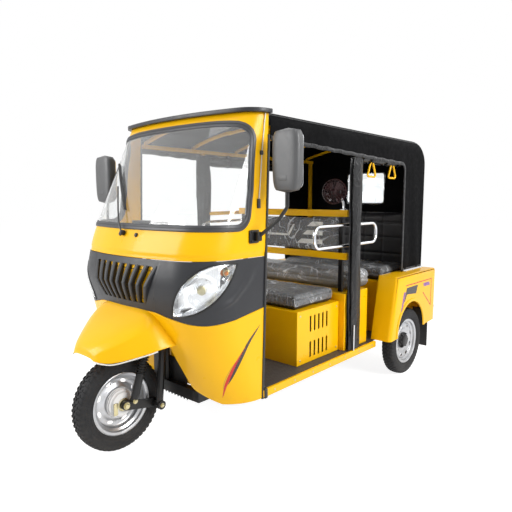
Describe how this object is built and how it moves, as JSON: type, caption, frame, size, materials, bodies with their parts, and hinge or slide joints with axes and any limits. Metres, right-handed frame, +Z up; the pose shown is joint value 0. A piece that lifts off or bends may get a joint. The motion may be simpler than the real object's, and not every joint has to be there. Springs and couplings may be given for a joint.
{
  "type": "electric auto rickshaw",
  "caption": "Three-wheeled electric auto rickshaw with beak mudguard, wrapped windscreen, open sides, canvas canopy, driver seat and facing passenger benches.",
  "frame": {"origin": "ground level under the middle of the bounding box", "axes": "+Z up, the vehicle faces -Y, its left side is +X"},
  "size_m": [1.565, 2.88, 1.798],
  "materials": {
    "yellow_paint": "gloss",
    "black_paint": "satin",
    "black_plastic": "matte",
    "black_canvas": "matte",
    "seat_cover": "satin",
    "clear_glass": "gloss",
    "rubber": "matte",
    "tyre": "matte",
    "chrome": "polished",
    "silver_steel": "satin",
    "red_lens": "gloss"
  },
  "bodies": {
    "body": {"battery_pack": "black_plastic", "canopy": "black_canvas", "chassis_members": "black_paint", "chassis_rails": "black_paint", "dashboard": "black_plastic", "driver_cushion": "seat_cover", "driver_seat_box": "yellow_paint", "floor_pan": "black_paint", "front_apron": "yellow_paint", "front_cowl": "yellow_paint", "front_fascia": "black_plastic", "front_mudguard": "yellow_paint", "grab_handles": "yellow_paint", "grille_backing": "yellow_paint", "guard_loops": "chrome", "headlamp_bowls": "chrome", "headlamp_lenses": "clear_glass", "inner_bulkhead": "yellow_paint", "leaf_springs": "black_paint", "mid_bench_box": "yellow_paint", "mid_cushion": "seat_cover", "mirror_arms": "black_paint", "mirror_housings": "black_plastic", "mudflaps": "rubber", "partition_frame": "yellow_paint", "partition_panel": "seat_cover", "quarter_panel_left": "yellow_paint", "quarter_panel_right": "yellow_paint", "rear_axle": "black_paint", "rear_backrest": "seat_cover", "rear_bumper": "chrome", "rear_cushion": "seat_cover", "rear_seat_base": "yellow_paint", "rear_window": "clear_glass", "roof_bows": "yellow_paint", "roof_posts": "yellow_paint", "roof_rails": "yellow_paint", "roof_visor": "black_plastic", "side_sills": "yellow_paint", "steering_head": "black_paint", "tail_lamps": "red_lens", "tail_panel": "yellow_paint", "waist_rail": "yellow_paint", "windscreen_glass": "clear_glass", "windscreen_seal": "rubber"},
    "steering": {"front_fork": "black_paint", "front_links": "black_paint", "front_shocks": "black_paint", "handlebar": "black_paint", "handlebar_grips": "rubber"},
    "front_wheel": {"front_tyre": "tyre", "front_rim": "silver_steel"},
    "rear_wheel_left": {"rear_tyre_left": "tyre", "rear_rim_left": "silver_steel", "rear_hub_left": "black_paint"},
    "rear_wheel_right": {"rear_tyre_right": "tyre", "rear_rim_right": "silver_steel", "rear_hub_right": "black_paint"}
  },
  "joints": [
    {"name": "steering", "type": "hinge", "parent": "body", "child": "steering", "pos_m": [0, -1.09, 0.5], "axis": [0, 0.3746, 0.9272], "range_deg": [-38, 38]},
    {"name": "front_wheel_spin", "type": "hinge", "parent": "steering", "child": "front_wheel", "pos_m": [0, -1.19, 0.25], "axis": [1, 0, 0], "continuous": true},
    {"name": "rear_wheel_left_spin", "type": "hinge", "parent": "body", "child": "rear_wheel_left", "pos_m": [0.603, 0.893, 0.25], "axis": [1, 0, 0], "continuous": true},
    {"name": "rear_wheel_right_spin", "type": "hinge", "parent": "body", "child": "rear_wheel_right", "pos_m": [-0.603, 0.893, 0.25], "axis": [1, 0, 0], "continuous": true}
  ]
}
